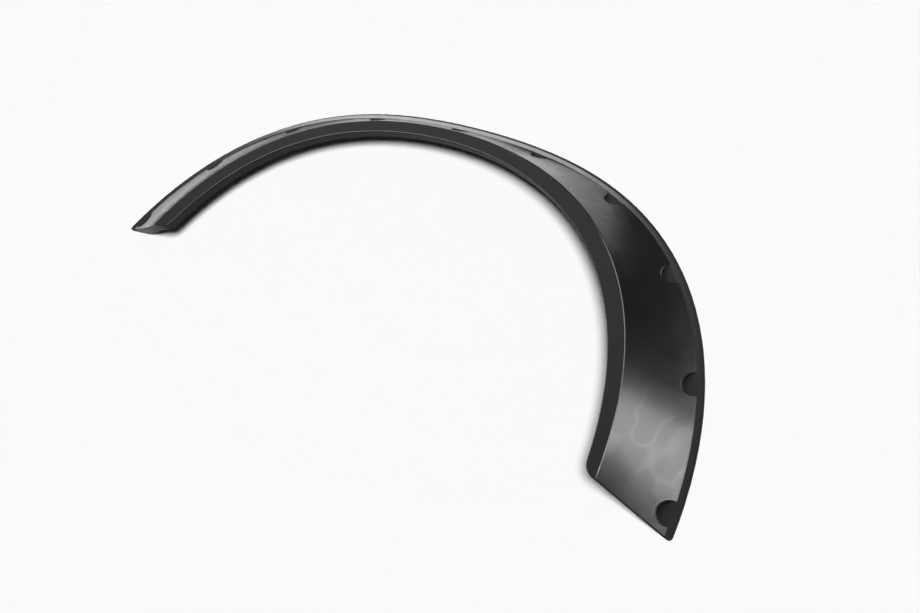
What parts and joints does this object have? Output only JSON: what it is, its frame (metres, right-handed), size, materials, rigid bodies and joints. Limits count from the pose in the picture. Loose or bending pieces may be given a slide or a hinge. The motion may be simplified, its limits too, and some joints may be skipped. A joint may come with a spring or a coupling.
{
  "type": "wheel arch trim",
  "caption": "Arched moulded trim that frames a car's wheel opening, with a flared face, a flat lip and round-ended fastener pockets along its mounting flange.",
  "frame": {"origin": "centre of the bounding box at the underside of the mounting flange", "axes": "+X across the arch towards its longer leg, +Y towards the top of the arch, +Z out of the car's side, with the trim lying outside up"},
  "size_m": [0.8182, 0.326, 0.0333],
  "materials": {
    "black_plastic": "satin"
  },
  "bodies": {
    "root": {"wheel_arch_trim": "black_plastic"}
  },
  "joints": []
}
